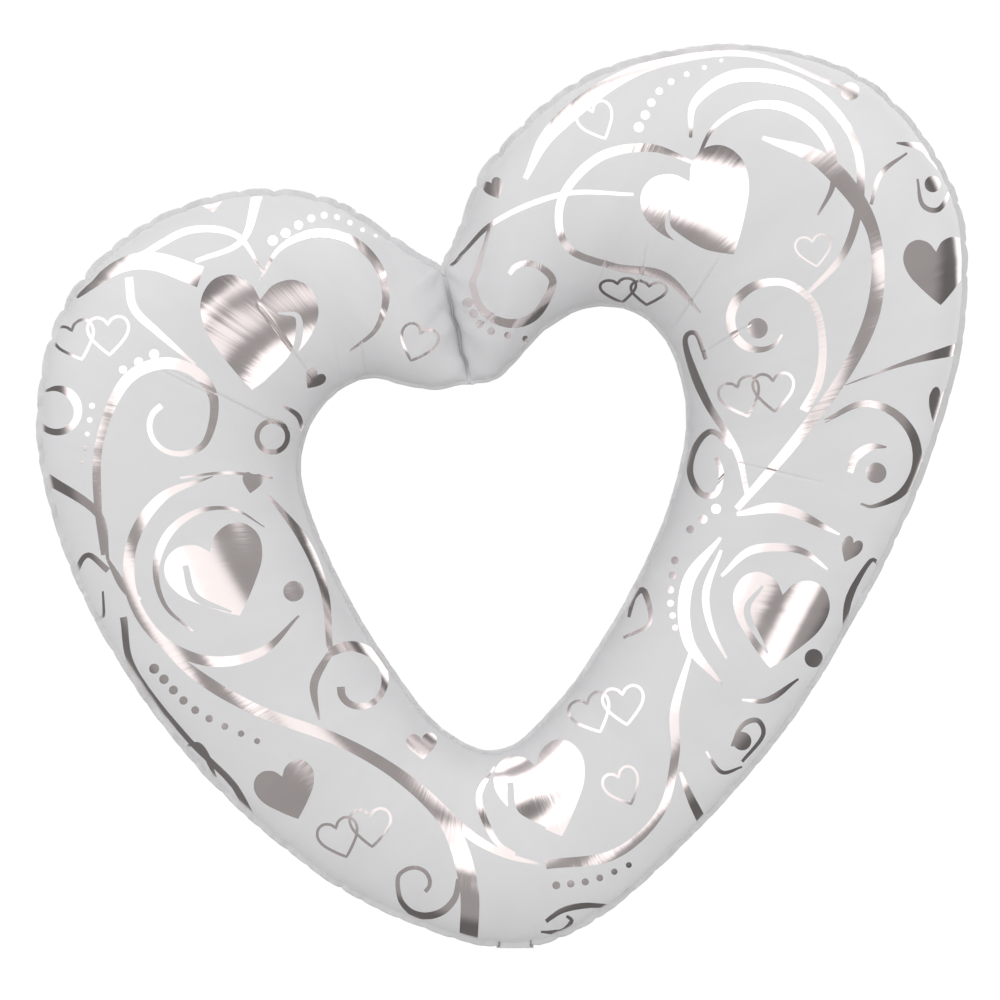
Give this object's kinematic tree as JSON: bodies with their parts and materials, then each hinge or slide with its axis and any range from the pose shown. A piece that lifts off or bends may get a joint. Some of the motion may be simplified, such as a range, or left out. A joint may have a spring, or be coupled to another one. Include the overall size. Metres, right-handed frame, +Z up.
{
  "type": "open-heart foil balloon",
  "caption": "Inflated foil balloon: a leaning open heart of tube with a cleft, welded seams, self-sealing valve and folding tail.",
  "frame": {"origin": "bottom of the outer seam in the seam plane, where the tail starts and a ribbon is tied", "axes": "+Z up, -Y out of the printed front, +X to the right as seen from the front"},
  "size_m": [0.9032, 0.2678, 0.8772],
  "materials": {
    "pearl_film": "pearl white ink on metallised film, satin, with bare foil hearts and scrolls",
    "silver_foil": "bare metallised film, mirror-like and slightly brushed",
    "seam_margin": "welded double film, finely crimped",
    "valve_film": "clear soft polyethylene film",
    "release_ink": "matt heat-resistant coating"
  },
  "bodies": {
    "balloon": {"front_panel": "pearl_film", "back_panel": "pearl_film", "outer_seam": "seam_margin", "inner_seam": "seam_margin", "cleft_seam": "seam_margin", "neck_front_film": "pearl_film", "neck_back_film": "pearl_film", "valve_front_film": "valve_film", "valve_back_film": "valve_film", "valve_side_welds": "valve_film", "release_coating": "release_ink"},
    "tail": {"tail_front_film": "pearl_film", "tail_back_film": "pearl_film", "tail_side_welds": "seam_margin", "tail_valve_front_film": "valve_film", "tail_valve_back_film": "valve_film", "tail_valve_side_welds": "valve_film", "tail_release_coating": "release_ink"}
  },
  "joints": [
    {"name": "tail_fold", "type": "hinge", "parent": "balloon", "child": "tail", "pos_m": [0, 0, -0.001], "axis": [1, 0, 0], "range_deg": [-216, 0]}
  ]
}
